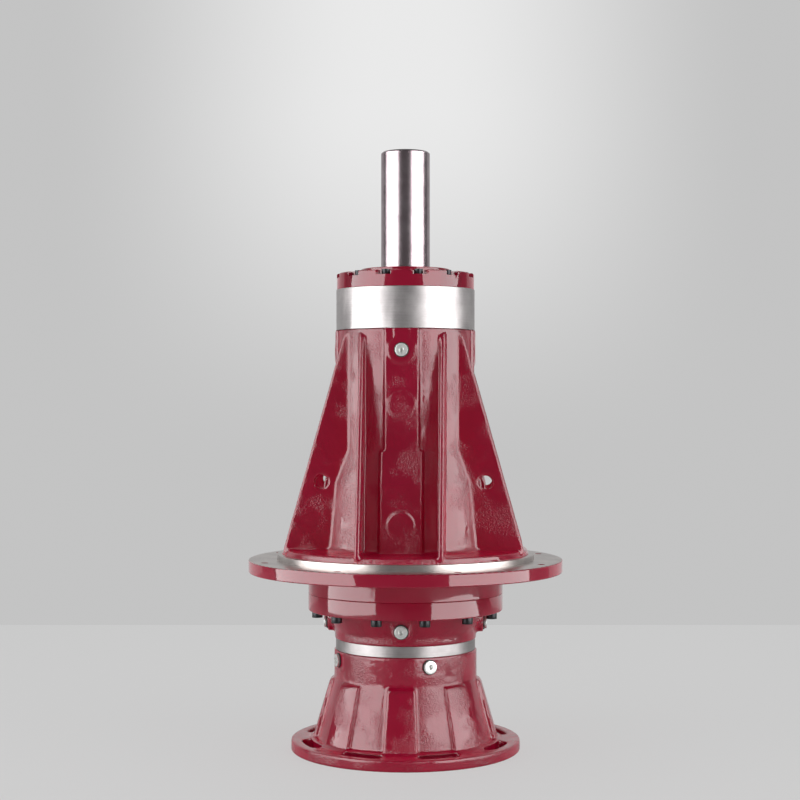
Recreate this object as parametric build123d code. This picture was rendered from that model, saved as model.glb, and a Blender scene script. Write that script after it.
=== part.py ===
from build123d import *
import math
import os

os.makedirs("parts", exist_ok=True)

# Two-stage planetary gearbox, millimetres, Z up along the shaft axis.
# The origin is at the centre of the motor flange face that the unit stands on.

# Motor bell
bell_flange_r = 175.0
bell_flange_t = 16.4
bell_step_r = 146.0
bell_step_t = 2.6
bell_cone_top = 108.0
bell_height = 153.2
bell_panel_low_r = 133.2
bell_panel_high_r = 110.2
bell_barrel_r = 109.0
bell_rib_low_r = 140.0
bell_rib_high_r = 117.0
bell_rib_count = 8
bell_rib_angle = 21.0
bell_wall = 10.0
bell_plate_t = 12.2
motor_register_r = 125.0
motor_register_depth = 6.0
slot_circle_r = 150.0
slot_width = 18.5
slot_arc = 17.5
flat_drop = 12.0
flat_shaving = 2.3
flat_width = 60.0

# First stage ring gear, seen from outside as a bare steel band
band1_height = 16.6
band1_r = 106.7
ring1_spigot_r = 98.0
ring1_top_length = 14.2
ring1_register_r = 104.0
ring1_register_t = 3.5

# Intermediate casting
stage_height = 69.4
stage_barrel_r = 108.2
stage_cone_r = 121.0
stage_barrel_length = 13.0
stage_cone_length = 25.0
stage_flange_r = 149.0
stage_flange_t = 26.1
stage_web_t = 6.0
stage_web_r = 86.0
stage_bore_r = 104.0
stage_spigot_t = 3.8
pad_width = 28.7
pad_face = 119.5
pad_plug_drop = 20.0
oil_hole_r = 3.0

# Main housing
low_flange_t = 32.3
main_flange_r = 240.0
main_flange_t = 18.6
spigot_step = 43.5
spigot_t = 8.6
foot_step = 9.5
foot_t = 8.3
spigot_r = main_flange_r - spigot_step
foot_r = spigot_r - foot_step
barrel_low_r = 127.0
barrel_mid_r = 119.0
barrel_r = 104.0
barrel_low_length = 102.0
barrel_cone_length = 49.0
barrel_length = 181.3
band2_r = 106.0
band2_length = 62.3
housing_bore_r = 90.0
flange_bolt_margin = 17.5
flange_bolt_hole_r = 5.5
flange_bolt_count = 8
flange_bolt_circle_r = main_flange_r - flange_bolt_margin

# Gussets and centre columns of the main housing
gusset_offset = 60.0
gusset_t = 8.0
gusset_margin = 7.0
gusset_reach_low = foot_r - gusset_margin
gusset_reach_high = 88.0
gusset_foot_rise = 4.0
gusset_foot_round = 6.0
gusset_top_drop = 3.0
gusset_top_round = 16.0
lifting_hole_r = 10.0
lifting_hole_margin = 29.0
lifting_hole_rise = 103.0
column_width = 51.0
column_foot_width = 64.0
column_face_low = 130.0
column_face_mid = 122.5
column_face_high = 105.5
boss_r = 20.0
boss_rise = 1.8
boss_neck_width = 22.0
boss_high_drop = 32.3
boss_mid_drop = 113.3
boss_low_rise = 42.0

# Seal cover and output shaft
cover_t = 24.4
cover_r = 105.3
cover_hub_r = 69.0
cover_hub_t = 7.0
cover_spigot_t = 11.5
pocket_r = 11.5
pocket_depth = 7.0
shaft_r = 37.5
shaft_overhang = 180.0
shaft_chamfer = 2.5
seal_seat_r = 42.5
seal_case_r = 60.0
seal_t = 12.0
centre_hole_r = 8.75
centre_hole_depth = 42.0

# Rolling bearings of the output shaft: bore radius, outer radius, width
upper_bore_r = 45.0
upper_outer_r = 80.0
upper_width = 45.0
lower_bore_r = 50.0
lower_outer_r = 90.0
lower_width = 46.0
race_t = 9.5
lip_t = 4.0
lip_rise = 3.0
roller_count = 12
cage_t = 2.0
shoulder_rise = 6.0

# Input hub and its two ball bearings
input_bore_r = 24.0
input_bore_depth = 103.5
input_key_width = 14.0
input_key_rise = 3.8
input_hub_r = 36.0
input_hub_start = 8.0
input_head_room = 10.5
input_head_gap = 1.5
input_collar_r = 44.0
input_seat_r = 37.5
ball_outer_r = 65.0
ball_width = 25.0
ball_split_r = 50.0
tube_wall = 10.0
input_seal_t = 10.0
input_web_t = 6.0
sun1_screw_grip = 18.0

# Gear train: both stages have fixed ring gears and driven suns
pressure_angle = math.radians(20)
planet_count = 3
module_1 = 3.0
sun_1_teeth = 15
planet_1_teeth = 21
module_2 = 4.0
sun_2_teeth = 18
planet_2_teeth = 18
face_width_1 = 28.0
face_width_2 = 52.2
ring2_outer_r = 125.0
ring2_length = 57.0
pin1_r = 14.0
pin2_r = 18.0
pin_end_t = 1.6
pin_chamfer = 1.0
bush_t = 4.0
carrier_1_t = 20.0
carrier_1_r = 80.0
carrier_2_t = 24.0
carrier_2_r = 98.0
carrier_2_hub_r = 57.0
carrier_2_hub_t = 12.0
carrier_gap = 4.0
carrier_boss_wall = 7.0
planet1_rise = 4.5
planet2_rise = 3.5
carrier_spline_r = 42.0
carrier_spline_depth = 4.0
sun2_spline_r = 24.0
sun2_spline_depth = 3.0
sun1_stem_r = 17.5
sun1_stem_depth = 2.5
button_r = 9.0
button_depth = 5.0
button_stand = 3.5

# Fasteners: thread radius, head radius, head height, length under the head, socket across flats
m6 = dict(thread=3.0, head=5.0, tall=6.0, socket=5.0)
m8 = dict(thread=4.0, head=6.5, tall=8.0, socket=6.0)
m10 = dict(thread=5.0, head=8.0, tall=10.0, socket=8.0)
cover_screw_length = 30.0
cover_screw_circle_r = 93.0
cover_screw_count = 12
stage_screw_length = 45.0
stage_screw_circle_r = 136.6
stage_screw_count = 12
bell_screw_length = 24.0
bell_screw_circle_r = 95.0
bell_screw_count = 6
ring1_screw_length = 16.0
ring1_screw_circle_r = 93.6
ring1_screw_count = 4
hole_runout = 2.0
plug_thread_r = 7.0
plug_collar_r = 9.5
plug_collar_t = 3.5
plug_length = 12.0
plug_socket = 7.0
washer_r = 11.0
washer_t = 1.5

# Clearances
press_gap = 0.02
running_gap = 0.05
seat_gap = 0.05
axial_play = 0.3
side_gap = 0.3
flank_play = 0.1
ring_play = 0.15
tooth_root_depth = 1.25
thread_gap = 0.02
hub_gap = 0.2
hole_gap = 0.5
cut_past = 1.0
clip_t = 1.5
clip_play = 0.1
clip_stand = 3.0
pin_groove_depth = 1.2
shaft_groove_depth = 1.5
shaft_groove_width = 2.5
hub_groove_width = 2.0
bell_groove_depth = 2.5
bell_groove_width = 2.5

# Levels along the axis
z_bell_flange = bell_flange_t
z_bell_step = z_bell_flange + bell_step_t
z_bell_top = bell_height
z_band1_top = z_bell_top + band1_height
z_stage_top = z_band1_top + stage_height
z_stage_flange = z_stage_top - stage_flange_t
z_low_flange = z_stage_top + low_flange_t
z_main_flange = z_low_flange + main_flange_t
z_spigot = z_main_flange + spigot_t
z_foot = z_spigot + foot_t
z_barrel_mid = z_foot + barrel_low_length
z_barrel_high = z_barrel_mid + barrel_cone_length
z_band2 = z_barrel_high + barrel_length
z_gusset_low = z_foot + gusset_foot_rise
z_gusset_top = z_band2 - gusset_top_drop
z_lifting_hole = z_foot + lifting_hole_rise
z_housing_top = z_band2 + band2_length
z_cover_top = z_housing_top + cover_t
z_hub_top = z_cover_top + cover_hub_t
z_shaft_top = z_hub_top + shaft_overhang

z_ring1_low = z_bell_top - ring1_register_t
z_ring1_top = z_band1_top + ring1_top_length
z_web_top = z_ring1_top + stage_web_t
z_planet1_low = z_ring1_low + planet1_rise
z_planet1_top = z_planet1_low + face_width_1
z_carrier1_low = z_planet1_top + carrier_gap
z_carrier1_top = z_carrier1_low + carrier_1_t
z_ring2_low = z_stage_top + stage_spigot_t
z_ring2_top = z_ring2_low + ring2_length
z_planet2_low = z_ring2_low + planet2_rise
z_planet2_top = z_planet2_low + face_width_2
z_carrier2_low = z_ring2_top + carrier_gap
z_carrier2_top = z_carrier2_low + carrier_2_t
z_lower_seat = z_carrier2_top + carrier_2_hub_t
z_lower_top = z_lower_seat + lower_width
z_upper_top = z_housing_top - cover_spigot_t
z_upper_seat = z_upper_top - upper_width
z_seal_low = z_hub_top - 4.0 - seal_t

z_tube_top = z_bell_top - ring1_register_t
z_ball_top = z_tube_top - 3.5
z_ball_low = z_ball_top - 2 * ball_width
z_input_seal_low = z_ball_low - 3.0 - input_seal_t
z_tube_low = z_input_seal_low - 2.0
z_bore_end = input_hub_start + input_bore_depth
z_sun1_screw = z_bore_end + input_head_room
z_web_end = z_sun1_screw + input_web_t
z_hub_end = z_ball_top + 4.0

centre_distance_1 = module_1 * (sun_1_teeth + planet_1_teeth) / 2
centre_distance_2 = module_2 * (sun_2_teeth + planet_2_teeth) / 2
ring_1_teeth = sun_1_teeth + 2 * planet_1_teeth
ring_2_teeth = sun_2_teeth + 2 * planet_2_teeth
four_sides = [0, 90, 180, 270]
plug_angles = [22.5, 112.5, 202.5, 292.5]


def section(*corners):
    """Half section in the XZ plane; a third number rounds that corner."""
    points = [corner[:2] for corner in corners]
    radii = [corner[2] if len(corner) > 2 else 0 for corner in corners]
    if any(radii):
        outline = FilletPolyline(*points, radius=radii, close=True)
    else:
        outline = Polyline(*points, close=True)
    return Plane.XZ * make_face(outline)


def turned(*corners):
    return revolve(section(*corners), Axis.Z)


def disc(radius, low, high):
    return Pos(0, 0, low) * extrude(Circle(radius), amount=high - low)


def ring(inner, outer, low, high):
    return Pos(0, 0, low) * extrude(Circle(outer) - Circle(inner), amount=high - low)


def upright(outline, low, high):
    """A flat outline in XY carried straight up between two levels."""
    return Pos(0, 0, low) * extrude(outline, amount=high - low)


def radial_rod(radius, start, end, level):
    return Pos(start, 0, level) * Rot(0, 90, 0) * extrude(Circle(radius), amount=end - start)


def turn(shape, angle):
    return Rot(0, 0, angle) * shape


def around(shape, angles):
    return [turn(shape, angle) for angle in angles]


def even(count, start=0.0):
    return [start + 360 * i / count for i in range(count)]


def save(name, *shapes):
    solids = []
    for shape in shapes:
        solids += shape.solids()
    body = solids[0] if len(solids) == 1 else Compound(children=solids)
    body.label = name
    export_step(body, f"parts/{name}.step")


def involute(angle):
    return math.tan(angle) - angle


def half_tooth(teeth, module, radius):
    """Half the angle that an involute tooth fills at a radius."""
    base = module * teeth / 2 * math.cos(pressure_angle)
    slope = math.acos(min(1.0, base / radius))
    return math.pi / (2 * teeth) + involute(pressure_angle) - involute(slope)


def gear_outline(teeth, module, radii, widening, first_tooth=0.0):
    """Gear outline with flanks through the given radii, each flank moved outward by widening."""
    points = []
    for i in range(teeth):
        middle = math.radians(first_tooth) + 2 * math.pi * i / teeth
        halves = [half_tooth(teeth, module, r) + widening / r for r in radii]
        rising = [(r, middle - half) for r, half in zip(radii, halves)]
        falling = [(r, middle + half) for r, half in zip(radii, halves)]
        for r, angle in rising + falling[::-1]:
            points.append((r * math.cos(angle), r * math.sin(angle)))
    return make_face(Polyline(*points, close=True))


def outer_gear(teeth, module, first_tooth=0.0):
    pitch_r = module * teeth / 2
    radii = [pitch_r - tooth_root_depth * module, pitch_r, pitch_r + module]
    return gear_outline(teeth, module, radii, -flank_play, first_tooth)


def ring_cutter(teeth, module, first_space=0.0):
    """Outline of the spaces of an inner gear, with its tooth tips cut back a little."""
    pitch_r = module * teeth / 2
    radii = [pitch_r - 0.9 * module, pitch_r, pitch_r + tooth_root_depth * module]
    return gear_outline(teeth, module, radii, ring_play, first_space)


def spline_outline(tip_r, depth, count=10, gap=0.0):
    """Straight-sided spline; gap makes the outline larger all round."""
    width = math.pi * (tip_r - depth / 2) / count + 2 * gap
    root = Circle(tip_r - depth + gap)
    length = tip_r + gap
    tooth = Pos(length / 2, 0) * Rectangle(length, width)
    outline = root
    for angle in even(count):
        outline += Rot(0, 0, angle) * tooth
    return outline & Circle(tip_r + gap)


def screw(size, length):
    """Socket head cap screw, head up, its head's underside at the origin."""
    body = disc(size["head"], 0, size["tall"]) + disc(size["thread"], -length, 0)
    socket = RegularPolygon(size["socket"] / 2, 6, major_radius=False)
    return body - upright(socket, size["tall"] / 2, size["tall"])


def screw_hole(size, circle_r, low, high):
    """Room for one screw's thread between two levels."""
    return Pos(circle_r, 0, 0) * disc(size["thread"] + thread_gap, low, high)


def plug(face, level):
    """Collared socket plug seated on a washer, pointing out along X."""
    seat = face + washer_t
    body = radial_rod(plug_collar_r, seat, seat + plug_collar_t, level)
    body += radial_rod(plug_thread_r, seat - plug_length, seat, level)
    socket = RegularPolygon(plug_socket / 2, 6, major_radius=False)
    start = seat + plug_collar_t - plug_socket
    return body - Pos(start, 0, level) * Rot(0, 90, 0) * extrude(socket, amount=plug_socket)


def plug_washer(face, level):
    whole = radial_rod(washer_r, face, face + washer_t, level)
    return whole - radial_rod(plug_thread_r + thread_gap, face, face + washer_t, level)


def plug_hole(face, level):
    return radial_rod(plug_thread_r + thread_gap, face - plug_length + washer_t - 1, face + 20, level)


def motor_bell():
    bore_r = bell_barrel_r - bell_wall + 1.5
    tube_r = ball_outer_r + tube_wall
    plate_low = z_bell_top - bell_plate_t
    body = turned(
        (0, 0), (bell_flange_r, 0, 1.5), (bell_flange_r, z_bell_flange, 1.5),
        (bell_step_r, z_bell_flange), (bell_step_r, z_bell_step, 1.0), (bell_panel_low_r, z_bell_step, 4.0),
        (bell_panel_high_r, bell_cone_top), (bell_barrel_r, bell_cone_top),
        (bell_barrel_r, z_bell_top, 1.0), (0, z_bell_top),
    )
    rib = revolve(
        section(
            (bore_r + 5, z_bell_flange), (bell_rib_low_r, z_bell_flange),
            (bell_rib_low_r, z_bell_step + 4, 3.0), (bell_rib_high_r, bell_cone_top - 6, 5.0),
            (bell_rib_high_r - 3, bell_cone_top), (bore_r + 5, bell_cone_top),
        ),
        Axis.Z,
        bell_rib_angle,
    )
    for angle in even(bell_rib_count, -bell_rib_angle / 2):
        body += turn(rib, angle)
    body -= turned(
        (0, -1), (motor_register_r, -1), (motor_register_r, motor_register_depth),
        (bell_panel_low_r - bell_wall, motor_register_depth), (bore_r, bell_cone_top),
        (bore_r, plate_low), (tube_r, plate_low, 4.0), (tube_r, z_tube_low), (0, z_tube_low),
    )
    body -= turned(
        (0, z_tube_low - 1), (ball_outer_r, z_tube_low - 1), (ball_outer_r, z_ball_top),
        (ball_outer_r - 5, z_ball_top), (ball_outer_r - 5, z_bell_top + 1), (0, z_bell_top + 1),
    )
    body -= disc(ring1_register_r + seat_gap, z_tube_top, z_bell_top + 1)
    clip_groove_r = ball_outer_r + bell_groove_depth
    body -= ring(ball_outer_r - cut_past, clip_groove_r, z_ball_low - bell_groove_width, z_ball_low)
    slot_step = 360 / bell_rib_count
    slot_line = CenterArc((0, 0), slot_circle_r, (slot_step - slot_arc) / 2, slot_arc)
    slot = upright(SlotArc(slot_line, slot_width), -1, z_bell_flange + 1)
    body -= around(slot, even(bell_rib_count))
    flat_face = bell_barrel_r - flat_shaving
    flat_low = z_plug_bell - flat_drop
    flat_height = z_bell_top + cut_past - flat_low
    flat_middle = Pos(flat_face + flat_width / 2, 0, flat_low + flat_height / 2)
    flat_cut = flat_middle * Box(flat_width, flat_width, flat_height)
    body -= around(flat_cut, plug_angles)
    body -= around(plug_hole(flat_face, z_plug_bell), plug_angles)
    hole = screw_hole(m6, bell_screw_circle_r, plate_low - 1, z_bell_top)
    body -= around(hole, even(bell_screw_count))
    return body


def stage1_ring_gear():
    body = turned(
        (0, z_ring1_low), (ring1_register_r, z_ring1_low), (ring1_register_r, z_bell_top),
        (band1_r, z_bell_top, 0.6), (band1_r, z_band1_top, 0.6), (ring1_spigot_r - seat_gap, z_band1_top),
        (ring1_spigot_r - seat_gap, z_ring1_top), (0, z_ring1_top),
    )
    body -= upright(ring_cutter(ring_1_teeth, module_1), z_ring1_low - 1, z_ring1_top + 1)
    screw_end = z_bell_top - bell_plate_t + bell_screw_length
    low_hole = screw_hole(m6, bell_screw_circle_r, z_ring1_low - 1, screw_end + hole_runout)
    body -= around(low_hole, even(bell_screw_count))
    screw_end = z_web_top - ring1_screw_length
    high_hole = screw_hole(m6, ring1_screw_circle_r, screw_end - hole_runout, z_ring1_top + 1)
    body -= around(high_hole, even(ring1_screw_count, 45))
    return body


def intermediate_housing():
    z_barrel = z_band1_top + stage_barrel_length
    body = turned(
        (0, z_band1_top), (stage_barrel_r, z_band1_top, 1.0), (stage_barrel_r, z_barrel, 6.0),
        (stage_cone_r, z_barrel + stage_cone_length, 4.0), (stage_cone_r, z_stage_flange, 3.0),
        (stage_flange_r, z_stage_flange, 1.5), (stage_flange_r, z_stage_top, 1.0),
        (ring2_outer_r - seat_gap, z_stage_top), (ring2_outer_r - seat_gap, z_ring2_low), (0, z_ring2_low),
    )
    z_plug = z_plug_stage
    pad = radial_rod(pad_width / 2, stage_bore_r - 2, pad_face, z_plug)
    rise = z_stage_flange + 2 - z_plug
    middle = (stage_bore_r - 2 + pad_face) / 2
    pad += Pos(middle, 0, z_plug + rise / 2) * Box(pad_face - stage_bore_r + 2, pad_width, rise)
    for angle in four_sides:
        body += turn(pad, angle)
    body -= turned(
        (0, z_band1_top - 1), (ring1_spigot_r, z_band1_top - 1), (ring1_spigot_r, z_ring1_top),
        (stage_web_r, z_ring1_top), (stage_web_r, z_web_top), (stage_bore_r, z_web_top, 3.0),
        (stage_bore_r, z_ring2_low + 1), (0, z_ring2_low + 1),
    )
    body -= around(plug_hole(pad_face, z_plug), four_sides)
    body -= around(radial_rod(oil_hole_r, stage_web_r, pad_face, z_plug), four_sides)
    hole = screw_hole(m10, stage_screw_circle_r, z_stage_flange - 1, z_stage_top + 1)
    body -= around(hole, even(stage_screw_count, 15))
    web_hole = screw_hole(m6, ring1_screw_circle_r, z_ring1_top - 1, z_web_top + 1)
    body -= around(web_hole, even(ring1_screw_count, 45))
    return body


def gusset():
    """One plate running right across the housing, with a sloping edge to each side."""
    low = z_spigot + foot_t / 2
    half = [
        (gusset_reach_low, low), (gusset_reach_low, z_gusset_low), (gusset_reach_high, z_gusset_top),
    ]
    points = half + [(-x, z) for x, z in half[::-1]]
    radii = [0, gusset_foot_round, gusset_top_round, gusset_top_round, gusset_foot_round, 0]
    outline = FilletPolyline(*points, radius=radii, close=True)
    plate = Plane.XZ * make_face(outline)
    return Pos(0, gusset_t / 2, 0) * extrude(plate, amount=gusset_t)


def column():
    """Flat-faced column on one side of the barrel with its round bosses, facing along X."""
    face_points = [
        (column_face_low, z_foot - foot_t / 2), (column_face_mid, z_barrel_mid, 10.0),
        (column_face_high, z_barrel_high, 10.0), (column_face_high, z_band2),
    ]
    inner = housing_bore_r + 2
    plate = section(*face_points, (inner, z_band2), (inner, z_foot - foot_t / 2))
    body = Pos(0, column_width / 2, 0) * extrude(plate, amount=column_width)
    wide = Pos(0, column_foot_width / 2, 0) * extrude(plate, amount=column_foot_width)
    body += wide & disc(barrel_low_r * 2, z_foot - foot_t, z_barrel_high)
    boss_face = column_face_high + boss_rise
    body += radial_rod(boss_r, inner, boss_face, z_boss_high)
    body += radial_rod(boss_r, inner, boss_face, z_boss_mid)
    neck_height = z_band2 - z_boss_high
    body += Pos((inner + boss_face) / 2, 0, z_boss_high + neck_height / 2) * Box(
        boss_face - inner, boss_neck_width, neck_height
    )
    body += radial_rod(boss_r, inner, boss_low_face, z_boss_low)
    return body


def main_housing():
    body = turned(
        (0, z_stage_top), (stage_flange_r, z_stage_top, 1.0), (stage_flange_r, z_low_flange, 3.0),
        (main_flange_r, z_low_flange, 1.5), (main_flange_r, z_main_flange, 1.5), (spigot_r, z_main_flange),
        (spigot_r, z_spigot, 0.8), (foot_r, z_spigot), (foot_r, z_foot, 3.0),
        (barrel_low_r, z_foot, 9.0), (barrel_mid_r, z_barrel_mid, 20.0), (barrel_r, z_barrel_high, 20.0),
        (barrel_r, z_band2), (band2_r, z_band2, 0.6), (band2_r, z_housing_top, 0.8), (0, z_housing_top),
    )
    plate = gusset()
    across = Pos(0, gusset_offset, 0) * plate + Pos(0, -gusset_offset, 0) * plate
    lifting_hole = Pos(lifting_hole_reach, 0, z_lifting_hole) * Rot(90, 0, 0) * extrude(
        Circle(lifting_hole_r), amount=2 * gusset_offset, both=True
    )
    across -= lifting_hole
    across -= turn(lifting_hole, 180)
    body += across
    body += Pos(gusset_offset, 0, 0) * turn(plate, 90)
    body += Pos(-gusset_offset, 0, 0) * turn(plate, 90)
    for angle in four_sides:
        body += turn(column(), angle)
    body -= turned(
        (0, z_stage_top - 1), (ring2_outer_r, z_stage_top - 1), (ring2_outer_r, z_ring2_top),
        (carrier_2_r + 3, z_ring2_top), (carrier_2_r + 3, z_carrier2_top + 4, 2.0),
        (lower_outer_r, z_carrier2_top + 4), (lower_outer_r, z_lower_top),
        (lower_outer_r - shoulder_rise, z_lower_top), (lower_outer_r - shoulder_rise, z_lower_top + 8),
        (housing_bore_r, z_lower_top + 14), (housing_bore_r, z_upper_seat - 16),
        (upper_outer_r - shoulder_rise, z_upper_seat - 8), (upper_outer_r - shoulder_rise, z_upper_seat),
        (upper_outer_r, z_upper_seat), (upper_outer_r, z_housing_top + 1), (0, z_housing_top + 1),
    )
    flange_hole = Pos(flange_bolt_circle_r, 0, 0) * disc(
        flange_bolt_hole_r, z_low_flange - 1, z_main_flange + 1
    )
    body -= around(flange_hole, even(flange_bolt_count, 180 / flange_bolt_count))
    screw_end = z_stage_flange + stage_screw_length
    low_hole = screw_hole(m10, stage_screw_circle_r, z_stage_top - 1, screw_end + hole_runout)
    body -= around(low_hole, even(stage_screw_count, 15))
    screw_end = z_pocket - cover_screw_length
    top_hole = screw_hole(m8, cover_screw_circle_r, screw_end - hole_runout, z_housing_top + 1)
    body -= around(top_hole, even(cover_screw_count, 15))
    boss_face = column_face_high + boss_rise
    body -= around(plug_hole(boss_face, z_boss_high), [90, 270])
    return body


def seal_cover():
    spigot_r_out = upper_outer_r - seat_gap
    body = turned(
        (upper_outer_r - 9, z_upper_top + seat_gap), (spigot_r_out, z_upper_top + seat_gap),
        (spigot_r_out, z_housing_top), (cover_r, z_housing_top, 0.6), (cover_r, z_cover_top, 2.5),
        (cover_hub_r, z_cover_top, 2.0), (cover_hub_r, z_hub_top, 2.0), (seal_case_r, z_hub_top),
        (seal_case_r, z_seal_low), (seal_case_r - 8, z_seal_low),
        (seal_case_r - 8, z_housing_top + 3), (upper_outer_r - 9, z_housing_top + 3),
    )
    pocket = Pos(cover_screw_circle_r, 0, 0) * disc(pocket_r, z_pocket, z_cover_top + 1)
    outward = cover_r + 5 - cover_screw_circle_r
    pocket += Pos(cover_screw_circle_r + outward / 2, 0, (z_pocket + z_cover_top + 1) / 2) * Box(
        outward, 2 * pocket_r, z_cover_top + 1 - z_pocket
    )
    body -= around(pocket, even(cover_screw_count, 15))
    hole = screw_hole(m8, cover_screw_circle_r, z_housing_top - 1, z_pocket + 1)
    return body - around(hole, even(cover_screw_count, 15))


def output_shaft():
    groove_r = upper_bore_r - shaft_groove_depth
    groove_top = z_upper_top + shaft_groove_width
    body = turned(
        (0, z_carrier2_low), (carrier_spline_r, z_carrier2_low), (carrier_spline_r, z_lower_seat),
        (lower_bore_r, z_lower_seat), (lower_bore_r, z_lower_top),
        (lower_bore_r + shoulder_rise, z_lower_top), (lower_bore_r + shoulder_rise, z_lower_top + 12, 3.0),
        (upper_bore_r + 3, z_lower_top + 20, 3.0), (upper_bore_r + 3, z_upper_seat - 10, 3.0),
        (upper_bore_r + shoulder_rise, z_upper_seat - 7), (upper_bore_r + shoulder_rise, z_upper_seat),
        (upper_bore_r, z_upper_seat), (upper_bore_r, z_upper_top), (groove_r, z_upper_top),
        (groove_r, groove_top), (upper_bore_r, groove_top), (upper_bore_r, groove_top + 3.5),
        (seal_seat_r, groove_top + 4.5), (seal_seat_r, z_hub_top + 1, 0.5), (shaft_r, z_hub_top + 1, 1.0),
        (shaft_r, z_shaft_top - shaft_chamfer), (shaft_r - shaft_chamfer, z_shaft_top), (0, z_shaft_top),
    )
    spline = spline_outline(carrier_spline_r, carrier_spline_depth)
    spaces = disc(carrier_spline_r + cut_past, z_carrier2_low - cut_past, z_carrier2_top)
    spaces -= upright(spline, z_carrier2_low - cut_past, z_carrier2_top)
    body -= spaces
    body -= turned(
        (0, z_shaft_top - centre_hole_depth), (centre_hole_r, z_shaft_top - centre_hole_depth + 5),
        (centre_hole_r, z_shaft_top - 4), (centre_hole_r + 3.5, z_shaft_top + 2), (0, z_shaft_top + 2),
    )
    return body - disc(button_r + press_gap, z_carrier2_low - 1, z_carrier2_low + button_depth)


def bearing_outer(bore_side_r, outer_r, low, high):
    race = outer_r - race_t
    return turned(
        (outer_r - press_gap, low, 1.5), (outer_r - press_gap, high, 1.5), (race - lip_rise, high),
        (race - lip_rise, high - lip_t), (race, high - lip_t), (race, low + lip_t),
        (race - lip_rise, low + lip_t), (race - lip_rise, low),
    )


def bearing_inner(bore_r, low, high):
    return turned(
        (bore_r + press_gap, low, 1.5), (bore_r + race_t, low, 0.6), (bore_r + race_t, high, 0.6),
        (bore_r + press_gap, high, 1.5),
    )


def roller_set(bore_r, outer_r, low, high):
    """Rollers between the two end rings of their pin cage."""
    inner_race = bore_r + race_t + side_gap
    outer_race = outer_r - race_t - side_gap
    middle = (inner_race + outer_race) / 2
    roller_r = (outer_race - inner_race) / 2
    cage_half = (outer_race - inner_race) / 2 - lip_rise - side_gap
    start = low + lip_t + side_gap + cage_t
    end = high - lip_t - side_gap - cage_t
    pieces = [ring(middle - cage_half, middle + cage_half, start - cage_t, start)]
    pieces.append(ring(middle - cage_half, middle + cage_half, end, end + cage_t))
    roller = Pos(middle, 0, 0) * disc(roller_r, start, end)
    return pieces + around(roller, even(roller_count))


def shaft_clip():
    inner = upper_bore_r - shaft_groove_depth + press_gap
    return ring(inner, upper_bore_r + clip_stand, z_upper_top, z_upper_top + shaft_groove_width - press_gap)


def output_seal():
    return turned(
        (seal_seat_r + side_gap, z_seal_low), (seal_case_r - press_gap, z_seal_low),
        (seal_case_r - press_gap, z_seal_low + seal_t, 1.0), (seal_seat_r + 5, z_seal_low + seal_t, 1.0),
        (seal_seat_r + 4, z_seal_low + seal_t - 4), (seal_seat_r + side_gap, z_seal_low + seal_t - 5),
    )


def stage2_ring_gear():
    body = disc(ring2_outer_r - press_gap, z_ring2_low, z_ring2_top)
    spaces = ring_cutter(ring_2_teeth, module_2, 180 / ring_2_teeth)
    return body - upright(spaces, z_ring2_low - cut_past, z_ring2_top + cut_past)


def carrier_2():
    body = turned(
        (0, z_carrier2_low), (carrier_2_r, z_carrier2_low, 2.0), (carrier_2_r, z_carrier2_top, 2.0),
        (carrier_2_hub_r, z_carrier2_top), (carrier_2_hub_r, z_lower_seat), (0, z_lower_seat),
    )
    boss_low = z_planet2_top + axial_play
    boss = Pos(centre_distance_2, 0, 0) * disc(pin2_r + carrier_boss_wall, boss_low, z_carrier2_low + 1)
    for angle in even(planet_count):
        body += turn(boss, angle)
    spline = spline_outline(carrier_spline_r, carrier_spline_depth, gap=running_gap)
    body -= upright(spline, z_carrier2_low - cut_past, z_carrier2_top + cut_past)
    body -= disc(carrier_spline_r + hub_gap, z_carrier2_top, z_lower_seat + cut_past)
    pin_bore = Pos(centre_distance_2, 0, 0) * disc(pin2_r + press_gap, boss_low - 1, z_carrier2_top + 1)
    return body - around(pin_bore, even(planet_count))


def carrier_1():
    body = turned(
        (0, z_carrier1_low), (carrier_1_r, z_carrier1_low, 2.0), (carrier_1_r, z_carrier1_top, 2.0),
        (0, z_carrier1_top),
    )
    boss_low = z_planet1_top + axial_play
    boss = Pos(centre_distance_1, 0, 0) * disc(pin1_r + carrier_boss_wall, boss_low, z_carrier1_low + 1)
    for angle in even(planet_count):
        body += turn(boss, angle)
    spline = spline_outline(sun2_spline_r, sun2_spline_depth, gap=running_gap)
    body -= upright(spline, z_carrier1_low - cut_past, z_carrier1_top + cut_past)
    pin_bore = Pos(centre_distance_1, 0, 0) * disc(pin1_r + press_gap, boss_low - 1, z_carrier1_top + 1)
    return body - around(pin_bore, even(planet_count))


def planet_pin(pin_r, distance, gear_low, top):
    """Pin with a groove below the gear for its clip."""
    clip_top = gear_low - axial_play
    clip_low = clip_top - clip_t
    end_low = clip_low - pin_end_t
    groove_r = pin_r - pin_groove_depth
    body = turned(
        (0, end_low), (pin_r - pin_chamfer, end_low), (pin_r, end_low + pin_chamfer),
        (pin_r, clip_low), (groove_r, clip_low), (groove_r, clip_top),
        (pin_r, clip_top), (pin_r, top), (0, top),
    )
    return Pos(distance, 0, 0) * body


def pin_clip(pin_r, distance, gear_low):
    clip_top = gear_low - axial_play
    inner = pin_r - pin_groove_depth + press_gap
    clip = ring(inner, pin_r + clip_stand, clip_top - clip_t + press_gap, clip_top - press_gap)
    return Pos(distance, 0, 0) * clip


def planet(teeth, module, pin_r, distance, low, high, first_tooth):
    outline = outer_gear(teeth, module, first_tooth) - Circle(pin_r + running_gap + bush_t + press_gap)
    return Pos(distance, 0, 0) * upright(outline, low, high)


def planet_bush(pin_r, distance, low, high):
    return Pos(distance, 0, 0) * ring(pin_r + running_gap, pin_r + running_gap + bush_t, low, high)


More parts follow.
